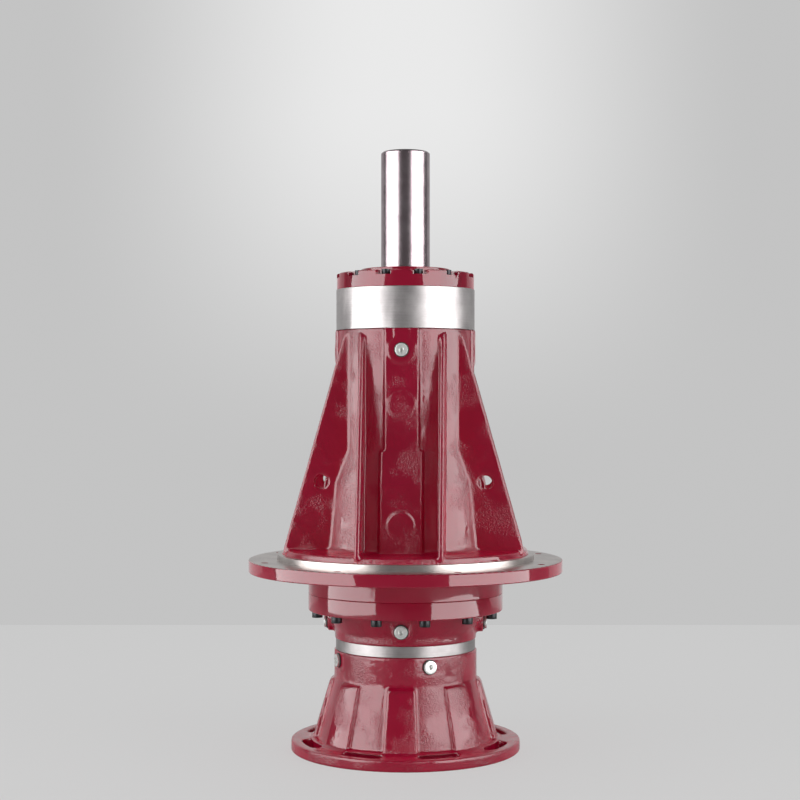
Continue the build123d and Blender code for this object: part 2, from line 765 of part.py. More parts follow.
def sun_gear_2():
    gear = upright(outer_gear(sun_2_teeth, module_2), z_planet2_low, z_planet2_top)
    neck_r = sun2_spline_r - sun2_spline_depth
    low = z_carrier1_low - button_stand
    body = gear + disc(neck_r, z_carrier1_top, z_planet2_low)
    body += upright(spline_outline(sun2_spline_r, sun2_spline_depth), low, z_carrier1_top + 4)
    for level in (z_carrier1_low - clip_t - clip_play, z_carrier1_top + clip_play):
        body -= ring(neck_r, sun2_spline_r + 1, level, level + clip_t)
    return body - disc(button_r + press_gap, low - 1, low + button_depth)


def carrier1_clips():
    neck_r = sun2_spline_r - sun2_spline_depth
    pieces = []
    outer = sun2_spline_r + clip_stand
    for level in (z_carrier1_low - clip_t - clip_play, z_carrier1_top + clip_play):
        pieces.append(ring(neck_r + press_gap, outer, level + press_gap, level + clip_t - press_gap))
    return pieces


def sun_gear_1():
    gear = upright(outer_gear(sun_1_teeth, module_1), z_planet1_low, z_planet1_top)
    stem = upright(spline_outline(sun1_stem_r, sun1_stem_depth), z_web_end, z_planet1_low)
    body = gear + stem
    return body - disc(m10["thread"] + thread_gap, z_web_end - 1, z_web_end + sun1_screw_grip + hole_runout)


def input_hub():
    groove_r = input_seat_r - shaft_groove_depth
    groove_top = z_ball_top + hub_groove_width
    body = turned(
        (0, input_hub_start), (input_hub_r, input_hub_start, 1.5), (input_hub_r, z_tube_low - 4, 3.0),
        (input_collar_r, z_tube_low - 2), (input_collar_r, z_ball_low), (input_seat_r, z_ball_low),
        (input_seat_r, z_ball_top), (groove_r, z_ball_top), (groove_r, groove_top),
        (input_seat_r, groove_top), (input_seat_r, z_hub_end, 1.0), (0, z_hub_end),
    )
    body -= disc(input_bore_r, input_hub_start - 1, z_bore_end)
    key_top = input_bore_r + input_key_rise
    key = Pos(key_top / 2, 0, (input_hub_start - 1 + z_bore_end) / 2) * Box(
        key_top, input_key_width, z_bore_end - input_hub_start + 1
    )
    body -= key
    body -= disc(m10["head"] + input_head_gap, z_bore_end - 1, z_sun1_screw)
    body -= disc(m10["thread"] + hole_gap, z_sun1_screw - 1, z_web_end + 1)
    return body - upright(spline_outline(sun1_stem_r, sun1_stem_depth, gap=press_gap), z_web_end, z_hub_end + 1)


def input_clip():
    inner = input_seat_r - shaft_groove_depth + press_gap
    return ring(inner, input_seat_r + clip_stand, z_ball_top, z_ball_top + hub_groove_width - press_gap)


def bearing_clip():
    outer = ball_outer_r + bell_groove_depth - press_gap
    return ring(ball_outer_r - 2 * clip_stand, outer, z_ball_low - bell_groove_width + press_gap, z_ball_low)


def ball_bearing_outer(low):
    return turned(
        (ball_split_r + side_gap, low + 1), (ball_outer_r - 4, low + 1), (ball_outer_r - 4, low),
        (ball_outer_r - press_gap, low, 1.2), (ball_outer_r - press_gap, low + ball_width, 1.2),
        (ball_outer_r - 4, low + ball_width), (ball_outer_r - 4, low + ball_width - 1),
        (ball_split_r + side_gap, low + ball_width - 1),
    )


def ball_bearing_inner(low):
    return ring(input_seat_r + press_gap, ball_split_r, low, low + ball_width)


def input_seal():
    return turned(
        (input_collar_r + side_gap, z_input_seal_low), (ball_outer_r - press_gap, z_input_seal_low, 0.8),
        (ball_outer_r - press_gap, z_input_seal_low + input_seal_t, 0.8),
        (input_collar_r + side_gap, z_input_seal_low + input_seal_t),
    )


# Plug levels, pocket floor and inner fits that several pieces share
z_plug_bell = z_bell_top - 14.2
z_plug_stage = z_stage_flange - pad_plug_drop
z_boss_high = z_band2 - boss_high_drop
z_boss_mid = z_band2 - boss_mid_drop
z_boss_low = z_foot + boss_low_rise
column_taper = (column_face_low - column_face_mid) / barrel_low_length
boss_low_face = column_face_low - boss_low_rise * column_taper + boss_rise
gusset_taper = (gusset_reach_low - gusset_reach_high) / (z_gusset_top - z_gusset_low)
gusset_edge_at_hole = gusset_reach_low - (z_lifting_hole - z_gusset_low) * gusset_taper
lifting_hole_reach = gusset_edge_at_hole - lifting_hole_margin
z_pocket = z_cover_top - pocket_depth

save("motor_bell", motor_bell())
save("stage1_ring_gear", stage1_ring_gear())
save("intermediate_housing", intermediate_housing())
save("main_housing", main_housing())
save("seal_cover", seal_cover())
save("output_shaft", output_shaft())
save("output_shaft_clip", shaft_clip())
save("output_seal", output_seal())
save("stage2_ring_gear", stage2_ring_gear())

save("upper_bearing_outer", bearing_outer(upper_bore_r, upper_outer_r, z_upper_seat, z_upper_top))
save("upper_bearing_inner", bearing_inner(upper_bore_r, z_upper_seat, z_upper_top))
save("upper_bearing_rollers", *roller_set(upper_bore_r, upper_outer_r, z_upper_seat, z_upper_top))
save("lower_bearing_outer", bearing_outer(lower_bore_r, lower_outer_r, z_lower_seat, z_lower_top))
save("lower_bearing_inner", bearing_inner(lower_bore_r, z_lower_seat, z_lower_top))
save("lower_bearing_rollers", *roller_set(lower_bore_r, lower_outer_r, z_lower_seat, z_lower_top))

save("carrier_2", carrier_2())
save("carrier_1", carrier_1())
pin_2 = planet_pin(pin2_r, centre_distance_2, z_planet2_low, z_carrier2_top)
pin_1 = planet_pin(pin1_r, centre_distance_1, z_planet1_low, z_carrier1_top)
save("carrier_2_pins", *around(pin_2, even(planet_count)))
save("carrier_1_pins", *around(pin_1, even(planet_count)))
save("carrier_2_pin_clips", *around(pin_clip(pin2_r, centre_distance_2, z_planet2_low), even(planet_count)))
save("carrier_1_pin_clips", *around(pin_clip(pin1_r, centre_distance_1, z_planet1_low), even(planet_count)))
save("sun_gear_2", sun_gear_2())
save("carrier_1_clips", *carrier1_clips())
save("sun_gear_1", sun_gear_1())

planet_1 = planet(planet_1_teeth, module_1, pin1_r, centre_distance_1, z_planet1_low, z_planet1_top, 0.0)
bush_1 = planet_bush(pin1_r, centre_distance_1, z_planet1_low, z_planet1_top)
half_pitch_2 = 180 / planet_2_teeth
planet_2 = planet(planet_2_teeth, module_2, pin2_r, centre_distance_2, z_planet2_low, z_planet2_top, half_pitch_2)
bush_2 = planet_bush(pin2_r, centre_distance_2, z_planet2_low, z_planet2_top)
for letter, angle in zip("abc", even(planet_count)):
    save(f"planet_1_{letter}", turn(planet_1, angle))
    save(f"planet_1_{letter}_bush", turn(bush_1, angle))
    save(f"planet_2_{letter}", turn(planet_2, angle))
    save(f"planet_2_{letter}_bush", turn(bush_2, angle))

# Thrust buttons keep the floating suns apart from the shafts above them
shaft_button_low = z_planet2_top + axial_play
save("shaft_thrust_button", disc(button_r, shaft_button_low, z_carrier2_low + button_depth))
sun_button_low = z_planet1_top + axial_play
save("sun_thrust_button", disc(button_r, sun_button_low, z_carrier1_low - button_stand + button_depth))

save("input_hub", input_hub())
save("input_clip", input_clip())
save("input_bearing_clip", bearing_clip())
ball_levels = [z_ball_low, z_ball_low + ball_width]
save("input_bearing_outer", *[ball_bearing_outer(level) for level in ball_levels])
save("input_bearing_inner", *[ball_bearing_inner(level) for level in ball_levels])
save("input_seal", input_seal())
sun_screw = Pos(0, 0, z_sun1_screw) * Rot(180, 0, 0) * screw(m10, input_web_t + sun1_screw_grip)
save("sun_gear_1_screw", sun_screw)

cover_screw = Pos(cover_screw_circle_r, 0, z_pocket) * screw(m8, cover_screw_length)
save("cover_screws", *around(cover_screw, even(cover_screw_count, 15)))
stage_screw = Pos(stage_screw_circle_r, 0, z_stage_flange) * Rot(180, 0, 0) * screw(m10, stage_screw_length)
save("stage_screws", *around(stage_screw, even(stage_screw_count, 15)))
bell_screw = Pos(bell_screw_circle_r, 0, z_bell_top - bell_plate_t) * Rot(180, 0, 0) * screw(m6, bell_screw_length)
save("bell_screws", *around(bell_screw, even(bell_screw_count)))
ring1_screw = Pos(ring1_screw_circle_r, 0, z_web_top) * screw(m6, ring1_screw_length)
save("ring_gear_screws", *around(ring1_screw, even(ring1_screw_count, 45)))

bell_face = bell_barrel_r - flat_shaving
column_boss_face = column_face_high + boss_rise
save("bell_plugs", *around(plug(bell_face, z_plug_bell), plug_angles))
save("stage_plugs", *around(plug(pad_face, z_plug_stage), four_sides))
save("housing_plugs", *around(plug(column_boss_face, z_boss_high), [90, 270]))
save(
    "plug_washers",
    *around(plug_washer(bell_face, z_plug_bell), plug_angles),
    *around(plug_washer(pad_face, z_plug_stage), four_sides),
    *around(plug_washer(column_boss_face, z_boss_high), [90, 270]),
)
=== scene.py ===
import math

import bmesh
import bpy
import numpy as np
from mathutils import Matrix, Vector, noise


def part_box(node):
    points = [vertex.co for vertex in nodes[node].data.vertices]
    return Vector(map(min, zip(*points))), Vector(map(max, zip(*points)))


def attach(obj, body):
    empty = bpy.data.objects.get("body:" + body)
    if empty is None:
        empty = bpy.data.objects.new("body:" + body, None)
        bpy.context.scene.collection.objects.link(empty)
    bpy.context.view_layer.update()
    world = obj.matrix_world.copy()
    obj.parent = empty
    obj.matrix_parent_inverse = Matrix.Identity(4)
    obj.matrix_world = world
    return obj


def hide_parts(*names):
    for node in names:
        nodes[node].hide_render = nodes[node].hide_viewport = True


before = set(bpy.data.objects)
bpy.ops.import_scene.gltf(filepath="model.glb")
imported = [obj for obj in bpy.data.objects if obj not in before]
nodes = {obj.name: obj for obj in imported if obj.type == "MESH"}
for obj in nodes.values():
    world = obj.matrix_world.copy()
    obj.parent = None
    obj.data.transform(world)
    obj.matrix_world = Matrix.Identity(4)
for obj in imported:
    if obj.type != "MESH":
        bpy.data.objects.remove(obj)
scene = bpy.context.scene
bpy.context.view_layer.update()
mm = 0.001


# Small tools for objects and meshes

def addObject(name, data):
    made = bpy.data.objects.new(name, data)
    scene.collection.objects.link(made)
    return made


def bakeModifiers(piece):
    # swaps the piece's mesh for what its modifiers make of it
    depsgraph = bpy.context.evaluated_depsgraph_get()
    baked = bpy.data.meshes.new_from_object(piece.evaluated_get(depsgraph))
    piece.modifiers.clear()
    piece.data = baked
    return piece


def readPoints(mesh):
    points = np.empty(len(mesh.vertices) * 3)
    mesh.vertices.foreach_get("co", points)
    return points.reshape(-1, 3)


def writePoints(mesh, points):
    mesh.vertices.foreach_set("co", points.ravel())
    mesh.update()


def shadeByAngle(mesh, degrees):
    mesh.polygons.foreach_set("use_smooth", [True] * len(mesh.polygons))
    mesh.set_sharp_from_angle(angle=math.radians(degrees))


def sliceOf(nodeName, pieceName, low=None, high=None):
    # a closed copy of one CAD node, kept between two levels
    mesh = nodes[nodeName].data.copy()
    mesh.name = pieceName
    piece = addObject(pieceName, mesh)
    work = bmesh.new()
    work.from_mesh(mesh)
    bmesh.ops.remove_doubles(work, verts=work.verts[:], dist=0.001 * mm)
    for level, side in ((low, -1), (high, 1)):
        if level is None:
            continue
        parts = work.verts[:] + work.edges[:] + work.faces[:]
        cut = bmesh.ops.bisect_plane(
            work, geom=parts, plane_co=(0, 0, level), plane_no=(0, 0, side), clear_outer=True
        )
        rim = [part for part in cut["geom_cut"] if isinstance(part, bmesh.types.BMEdge)]
        bmesh.ops.triangle_fill(work, use_beauty=True, edges=rim, normal=(0, 0, side))
    for layer in list(work.loops.layers.float_vector):
        work.loops.layers.float_vector.remove(layer)
    bmesh.ops.recalc_face_normals(work, faces=work.faces[:])
    work.to_mesh(mesh)
    work.free()
    if mesh.has_custom_normals:
        mesh.attributes.remove(mesh.attributes["custom_normal"])
    mesh.materials.clear()
    return piece


def softenEdges(piece, width, degrees=35, segments=2):
    bevel = piece.modifiers.new("softEdges", "BEVEL")
    bevel.width = width
    bevel.segments = segments
    bevel.limit_method = "ANGLE"
    bevel.angle_limit = math.radians(degrees)
    bevel.use_clamp_overlap = True
    return bevel


# Camera at the photograph's height and bearing

photoView = {
    "azimuth": 3.3,
    "distance": 2.533,
    "height": 0.533,
    "sideStep": 0.0084,
    "lens": 74.25,
    "sensor": 36.0,
}


def aimCamera(view):
    bearing = math.radians(view["azimuth"])
    data = bpy.data.cameras.new("photoCamera")
    data.lens = view["lens"]
    data.sensor_width = view["sensor"]
    data.clip_end = 50.0
    camera = addObject("photoCamera", data)
    back = Vector((math.sin(bearing), -math.cos(bearing), 0))
    right = Vector((math.cos(bearing), math.sin(bearing), 0))
    camera.location = back * view["distance"] - right * view["sideStep"] + Vector((0, 0, view["height"]))
    camera.rotation_euler = (math.pi / 2, 0, bearing)
    scene.camera = camera


aimCamera(photoView)
print("camera set")


# Shader helpers

def addNode(tree, kind, **settings):
    made = tree.nodes.new("ShaderNode" + kind)
    for key, value in settings.items():
        setattr(made, key, value)
    return made


def fill(node, **values):
    # sets input sockets by name, with spaces left out of the names
    for key, value in values.items():
        socket = next(s for s in node.inputs if s.name.replace(" ", "") == key and s.enabled)
        if isinstance(value, bpy.types.NodeSocket):
            node.id_data.links.new(value, socket)
        else:
            socket.default_value = value
    return node


def doMath(tree, operation, first, second=0.0, third=0.0):
    made = addNode(tree, "Math", operation=operation)
    for socket, value in zip(made.inputs, (first, second, third)):
        if isinstance(value, bpy.types.NodeSocket):
            tree.links.new(value, socket)
        else:
            socket.default_value = value
    return made.outputs[0]


def mixColors(tree, factor, first, second, blend="MIX"):
    made = addNode(tree, "Mix", data_type="RGBA", blend_type=blend)
    for index, value in ((0, factor), (6, first), (7, second)):
        if isinstance(value, bpy.types.NodeSocket):
            tree.links.new(value, made.inputs[index])
        else:
            made.inputs[index].default_value = value
    return made.outputs[2]


def remap(tree, value, fromLow, fromHigh, toLow=0.0, toHigh=1.0):
    made = addNode(tree, "MapRange", interpolation_type="SMOOTHSTEP")
    tree.links.new(value, made.inputs[0])
    for index, number in zip((1, 2, 3, 4), (fromLow, fromHigh, toLow, toHigh)):
        if isinstance(number, bpy.types.NodeSocket):
            tree.links.new(number, made.inputs[index])
        else:
            made.inputs[index].default_value = number
    return made.outputs[0]


def noiseAt(tree, place, scale, detail=2.0, roughness=0.5, kind="3D"):
    made = addNode(tree, "TexNoise", noise_dimensions=kind)
    tree.links.new(place, made.inputs["Vector"])
    fill(made, Detail=detail, Roughness=roughness)
    if isinstance(scale, bpy.types.NodeSocket):
        tree.links.new(scale, made.inputs["Scale"])
    else:
        made.inputs["Scale"].default_value = scale
    return made.outputs[0]


def bumpFrom(tree, height, under=None):
    # bump from a height in metres
    made = addNode(tree, "Bump")
    fill(made, Strength=1.0, Distance=1.0, Height=height)
    if under is not None:
        fill(made, Normal=under)
    return made.outputs[0]


def newGroup(name, inputs, outputs):
    tree = bpy.data.node_groups.new(name, "ShaderNodeTree")
    kinds = {"c": "NodeSocketColor", "f": "NodeSocketFloat", "v": "NodeSocketVector"}
    for label, kind, value in inputs:
        socket = tree.interface.new_socket(name=label, in_out="INPUT", socket_type=kinds[kind])
        socket.default_value = value
    for label, kind in outputs:
        tree.interface.new_socket(name=label, in_out="OUTPUT", socket_type=kinds[kind])
    entry = tree.nodes.new("NodeGroupInput")
    leave = tree.nodes.new("NodeGroupOutput")
    return tree, entry.outputs, leave.inputs


# Node groups that several finishes share. Waves are counts per metre of surface

castWaves = {"blotch": 14.0, "ripple": 95.0, "peel": 420.0, "patch": 22.0, "grain": 430.0}
grainHaze = 0.05
stainWaves = 30.0
bandsPerMm = 0.09
wearWaves = 260.0
bevelSamples = 4

def castSkinGroup():
    # paint over a sand casting: broad ripple, orange peel and grain where the casting is coarse
    tree, given, result = newGroup(
        "castSkin",
        [
            ("Paint", "c", (0.3, 0.005, 0.02, 1)),
            ("Thin Paint", "c", (0.4, 0.02, 0.04, 1)),
            ("Ripple mm", "f", 0.03),
            ("Peel mm", "f", 0.008),
            ("Grain mm", "f", 0.03),
            ("Grain Cover", "f", 0.5),
            ("Gloss", "f", 0.12),
        ],
        [("Color", "c"), ("Roughness", "f"), ("Normal", "v")],
    )
    place = addNode(tree, "TexCoord").outputs["Object"]
    blotch = noiseAt(tree, place, castWaves["blotch"], 3.0)
    tone = mixColors(tree, remap(tree, blotch, 0.35, 0.75, 0.0, 0.45), given["Paint"], given["Thin Paint"])
    tree.links.new(tone, result["Color"])
    ripple = doMath(tree, "MULTIPLY", noiseAt(tree, place, castWaves["ripple"], 1.0), given["Ripple mm"])
    peel = doMath(tree, "MULTIPLY", noiseAt(tree, place, castWaves["peel"], 1.0), given["Peel mm"])
    patch = noiseAt(tree, place, castWaves["patch"], 2.0)
    edge = doMath(tree, "SUBTRACT", 1.0, given["Grain Cover"])
    cover = remap(tree, patch, doMath(tree, "MULTIPLY", edge, 0.75), doMath(tree, "ADD", edge, 0.12))
    grain = noiseAt(tree, place, castWaves["grain"], 3.0, 0.6)
    grain = doMath(tree, "MULTIPLY", doMath(tree, "MULTIPLY", grain, given["Grain mm"]), cover)
    total = doMath(tree, "ADD", doMath(tree, "ADD", ripple, peel), grain)
    tree.links.new(bumpFrom(tree, doMath(tree, "MULTIPLY", total, mm)), result["Normal"])
    rough = doMath(tree, "ADD", given["Gloss"], doMath(tree, "MULTIPLY", cover, grainHaze))
    tree.links.new(rough, result["Roughness"])
    return tree


def turnedMarksGroup():
    # fine lathe lines around the unit's axis, on round and on flat faces alike
    tree, given, result = newGroup(
        "turnedMarks",
        [
            ("Light", "c", (0.6, 0.6, 0.6, 1)),
            ("Dark", "c", (0.45, 0.44, 0.43, 1)),
            ("Lines per mm", "f", 2.0),
            ("Depth mm", "f", 0.004),
            ("Gloss", "f", 0.16),
        ],
        [("Color", "c"), ("Roughness", "f"), ("Normal", "v")],
    )
    place = addNode(tree, "TexCoord").outputs["Object"]
    split = addNode(tree, "SeparateXYZ")
    tree.links.new(place, split.inputs[0])
    x, y, z = split.outputs
    squares = doMath(tree, "ADD", doMath(tree, "MULTIPLY", x, x), doMath(tree, "MULTIPLY", y, y))
    radius = doMath(tree, "SQRT", squares)
    across = doMath(tree, "MULTIPLY", doMath(tree, "ADD", radius, z), 1000.0)
    lines = addNode(tree, "CombineXYZ")
    tree.links.new(doMath(tree, "MULTIPLY", across, given["Lines per mm"]), lines.inputs[0])
    angle = doMath(tree, "ARCTAN2", y, x)
    tree.links.new(doMath(tree, "MULTIPLY", angle, 1.5), lines.inputs[1])
    groove = noiseAt(tree, lines.outputs[0], 1.0, 2.0, 0.6)
    broad = addNode(tree, "CombineXYZ")
    tree.links.new(doMath(tree, "MULTIPLY", across, bandsPerMm), broad.inputs[0])
    tree.links.new(doMath(tree, "MULTIPLY", angle, 0.5), broad.inputs[1])
    band = noiseAt(tree, broad.outputs[0], 1.0, 2.0)
    stain = noiseAt(tree, place, stainWaves, 4.0, 0.6)
    tone = doMath(tree, "ADD", doMath(tree, "MULTIPLY", groove, 0.35), doMath(tree, "MULTIPLY", stain, 0.65))
    color = mixColors(tree, remap(tree, tone, 0.35, 0.65), given["Light"], given["Dark"])
    tree.links.new(color, result["Color"])
    spread = doMath(tree, "ADD", doMath(tree, "MULTIPLY", band, 0.08), doMath(tree, "MULTIPLY", groove, 0.06))
    tree.links.new(doMath(tree, "ADD", given["Gloss"], spread), result["Roughness"])
    depth = doMath(tree, "MULTIPLY", doMath(tree, "MULTIPLY", groove, given["Depth mm"]), mm)
    tree.links.new(bumpFrom(tree, depth), result["Normal"])
    return tree


def mottleGroup():
    # uneven tone and fine tooth of a plated, oxidised or moulded surface
    tree, given, result = newGroup(
        "mottle",
        [
            ("Tone", "c", (0.5, 0.5, 0.5, 1)),
            ("Second Tone", "c", (0.4, 0.4, 0.4, 1)),
            ("Patch mm", "f", 6.0),
            ("Tooth mm", "f", 0.5),
            ("Depth mm", "f", 0.004),
            ("Gloss", "f", 0.3),
            ("Gloss Spread", "f", 0.1),
        ],
        [("Color", "c"), ("Roughness", "f"), ("Normal", "v")],
    )
    place = addNode(tree, "TexCoord").outputs["Object"]
    patch = noiseAt(tree, place, doMath(tree, "DIVIDE", 1000.0, given["Patch mm"]), 3.0)
    tooth = noiseAt(tree, place, doMath(tree, "DIVIDE", 1000.0, given["Tooth mm"]), 2.0)
    tree.links.new(
        mixColors(tree, remap(tree, patch, 0.3, 0.7), given["Tone"], given["Second Tone"]), result["Color"]
    )
    rough = doMath(tree, "ADD", given["Gloss"], doMath(tree, "MULTIPLY", patch, given["Gloss Spread"]))
    tree.links.new(rough, result["Roughness"])
    depth = doMath(tree, "MULTIPLY", doMath(tree, "MULTIPLY", tooth, given["Depth mm"]), mm)
    tree.links.new(bumpFrom(tree, depth), result["Normal"])
    return tree


def edgeWearGroup():
    # bright rubbed metal along outer edges, broken up by noise
    tree, given, result = newGroup(
        "edgeWear",
        [
            ("Color", "c", (0.1, 0.1, 0.1, 1)),
            ("Worn Color", "c", (0.5, 0.5, 0.5, 1)),
            ("Width mm", "f", 0.5),
            ("Amount", "f", 0.5),
        ],
        [("Color", "c"), ("Mask", "f")],
    )
    place = addNode(tree, "TexCoord").outputs["Object"]
    bevel = addNode(tree, "Bevel", samples=bevelSamples)
    tree.links.new(doMath(tree, "MULTIPLY", given["Width mm"], mm), bevel.inputs["Radius"])
    flat = addNode(tree, "NewGeometry").outputs["Normal"]
    turn = addNode(tree, "VectorMath", operation="DOT_PRODUCT")
    tree.links.new(bevel.outputs[0], turn.inputs[0])
    tree.links.new(flat, turn.inputs[1])
    bend = doMath(tree, "SUBTRACT", 1.0, turn.outputs["Value"])
    breakUp = noiseAt(tree, place, wearWaves, 3.0, 0.6)
    rub = doMath(tree, "MULTIPLY", remap(tree, bend, 0.02, 0.2), remap(tree, breakUp, 0.3, 0.62))
    rub = doMath(tree, "MULTIPLY", rub, given["Amount"])
    tree.links.new(mixColors(tree, rub, given["Color"], given["Worn Color"]), result["Color"])
    tree.links.new(rub, result["Mask"])
    return tree


groups = {
    "castSkin": castSkinGroup(),
    "turnedMarks": turnedMarksGroup(),
    "mottle": mottleGroup(),
    "edgeWear": edgeWearGroup(),
}


def useGroup(tree, name, **values):
    made = addNode(tree, "Group", node_tree=groups[name])
    return fill(made, **values)


def newMaterial(name):
    material = bpy.data.materials.new(name)
    material.use_nodes = True
    tree = material.node_tree
    return material, tree, tree.nodes["Principled BSDF"]


# Finishes

coatHaze = 0.05


def paintedCasting(name, look):
    material, tree, shader = newMaterial(name)
    skin = useGroup(
        tree, "castSkin", Paint=look["paint"], ThinPaint=look["thin"], Ripplemm=look["ripple"],
        Peelmm=look["peel"], Grainmm=look["grain"], GrainCover=look["cover"], Gloss=look["gloss"],
    )
    fill(shader, BaseColor=skin.outputs["Color"], Roughness=skin.outputs["Roughness"])
    fill(shader, Normal=skin.outputs["Normal"], IOR=look["ior"])
    fill(shader, CoatWeight=look["coat"], CoatRoughness=coatHaze, CoatIOR=look["coatIor"])
    fill(shader, CoatNormal=skin.outputs["Normal"])
    return material


def turnedMetal(name, look):
    material, tree, shader = newMaterial(name)
    marks = useGroup(
        tree, "turnedMarks", Light=look["light"], Dark=look["dark"], Linespermm=look["lines"],
        Depthmm=look["depth"], Gloss=look["gloss"],
    )
    fill(shader, BaseColor=marks.outputs["Color"], Roughness=marks.outputs["Roughness"])
    fill(shader, Normal=marks.outputs["Normal"], Metallic=1.0)
    return material


def plainFinish(name, look):
    material, tree, shader = newMaterial(name)
    skin = useGroup(
        tree, "mottle", Tone=look["tone"], SecondTone=look["second"], Patchmm=look["patch"],
        Toothmm=look["tooth"], Depthmm=look["depth"], Gloss=look["gloss"], GlossSpread=look["spread"],
    )
    color = skin.outputs["Color"]
    if look.get("wear"):
        worn = useGroup(
            tree, "edgeWear", WornColor=look["worn"], Widthmm=look["wearWidth"], Amount=look["wear"]
        )
        tree.links.new(color, worn.inputs["Color"])
        color = worn.outputs["Color"]
    fill(shader, BaseColor=color, Roughness=skin.outputs["Roughness"], Normal=skin.outputs["Normal"])
    fill(shader, Metallic=look["metal"])
    return material


crimson = (0.41, 0.0020, 0.034, 1)
thinCrimson = (0.50, 0.0040, 0.048, 1)
finishes = {
    "castPaint": paintedCasting("castPaint", {
        "paint": crimson, "thin": thinCrimson, "ripple": 0.35, "peel": 0.06, "grain": 0.95,
        "cover": 0.49, "gloss": 0.3, "ior": 1.15, "coat": 1.0, "coatIor": 1.5,
    }),
    "rimPaint": paintedCasting("rimPaint", {
        "paint": crimson, "thin": thinCrimson, "ripple": 0.03, "peel": 0.006, "grain": 0.006,
        "cover": 0.3, "gloss": 0.3, "ior": 1.15, "coat": 1.0, "coatIor": 1.5,
    }),
    "bandSteel": turnedMetal("bandSteel", {
        "light": (0.36, 0.34, 0.34, 1), "dark": (0.26, 0.245, 0.245, 1), "lines": 2.5, "depth": 0.003,
        "gloss": 0.33,
    }),
    "shaftSteel": turnedMetal("shaftSteel", {
        "light": (0.40, 0.34, 0.36, 1), "dark": (0.28, 0.22, 0.24, 1), "lines": 4.0, "depth": 0.0010,
        "gloss": 0.17,
    }),
    "faceSteel": turnedMetal("faceSteel", {
        "light": (0.50, 0.46, 0.44, 1), "dark": (0.36, 0.33, 0.32, 1), "lines": 1.6, "depth": 0.004,
        "gloss": 0.24,
    }),
    "hubSteel": turnedMetal("hubSteel", {
        "light": (0.46, 0.45, 0.44, 1), "dark": (0.30, 0.29, 0.29, 1), "lines": 2.0, "depth": 0.004,
        "gloss": 0.28,
    }),
    "gearSteel": plainFinish("gearSteel", {
        "tone": (0.40, 0.39, 0.38, 1), "second": (0.28, 0.27, 0.265, 1), "patch": 9.0, "tooth": 0.6,
        "depth": 0.004, "gloss": 0.22, "spread": 0.14, "metal": 1.0,
        "wear": 0.7, "worn": (0.75, 0.74, 0.72, 1), "wearWidth": 0.4,
    }),
    "carrierSteel": plainFinish("carrierSteel", {
        "tone": (0.16, 0.16, 0.165, 1), "second": (0.10, 0.10, 0.105, 1), "patch": 14.0, "tooth": 0.9,
        "depth": 0.02, "gloss": 0.42, "spread": 0.16, "metal": 0.85,
        "wear": 0.6, "worn": (0.5, 0.49, 0.48, 1), "wearWidth": 0.8,
    }),
    "bearingSteel": plainFinish("bearingSteel", {
        "tone": (0.72, 0.72, 0.72, 1), "second": (0.60, 0.60, 0.61, 1), "patch": 12.0, "tooth": 0.4,
        "depth": 0.0006, "gloss": 0.09, "spread": 0.07, "metal": 1.0,
    }),
    "springSteel": plainFinish("springSteel", {
        "tone": (0.09, 0.09, 0.10, 1), "second": (0.05, 0.05, 0.058, 1), "patch": 5.0, "tooth": 0.4,
        "depth": 0.002, "gloss": 0.3, "spread": 0.12, "metal": 0.9,
        "wear": 0.6, "worn": (0.45, 0.45, 0.45, 1), "wearWidth": 0.2,
    }),
    "blackScrew": plainFinish("blackScrew", {
        "tone": (0.030, 0.030, 0.033, 1), "second": (0.014, 0.014, 0.016, 1), "patch": 3.0, "tooth": 0.3,
        "depth": 0.003, "gloss": 0.28, "spread": 0.14, "metal": 0.7,
        "wear": 0.55, "worn": (0.32, 0.32, 0.33, 1), "wearWidth": 0.35,
    }),
    "zincPlug": plainFinish("zincPlug", {
        "tone": (0.86, 0.87, 0.85, 1), "second": (0.70, 0.72, 0.70, 1), "patch": 3.5, "tooth": 0.5,
        "depth": 0.004, "gloss": 0.26, "spread": 0.16, "metal": 0.85,
    }),
    "sealWasher": plainFinish("sealWasher", {
        "tone": (0.05, 0.045, 0.045, 1), "second": (0.025, 0.022, 0.022, 1), "patch": 3.0, "tooth": 0.4,
        "depth": 0.006, "gloss": 0.4, "spread": 0.2, "metal": 0.2,
    }),
    "bushBronze": plainFinish("bushBronze", {
        "tone": (0.55, 0.33, 0.13, 1), "second": (0.40, 0.22, 0.085, 1), "patch": 6.0, "tooth": 0.6,
        "depth": 0.004, "gloss": 0.25, "spread": 0.15, "metal": 1.0,
    }),
    "sealRubber": plainFinish("sealRubber", {
        "tone": (0.018, 0.018, 0.019, 1), "second": (0.028, 0.027, 0.027, 1), "patch": 10.0, "tooth": 0.5,
        "depth": 0.01, "gloss": 0.45, "spread": 0.15, "metal": 0.0,
    }),
    "buttonPlastic": plainFinish("buttonPlastic", {
        "tone": (0.55, 0.52, 0.45, 1), "second": (0.48, 0.45, 0.38, 1), "patch": 4.0, "tooth": 0.4,
        "depth": 0.005, "gloss": 0.4, "spread": 0.12, "metal": 0.0,
    }),
}
print("finishes made:", len(finishes))


# Castings: the CAD shape with its corners run soft, as sand leaves them

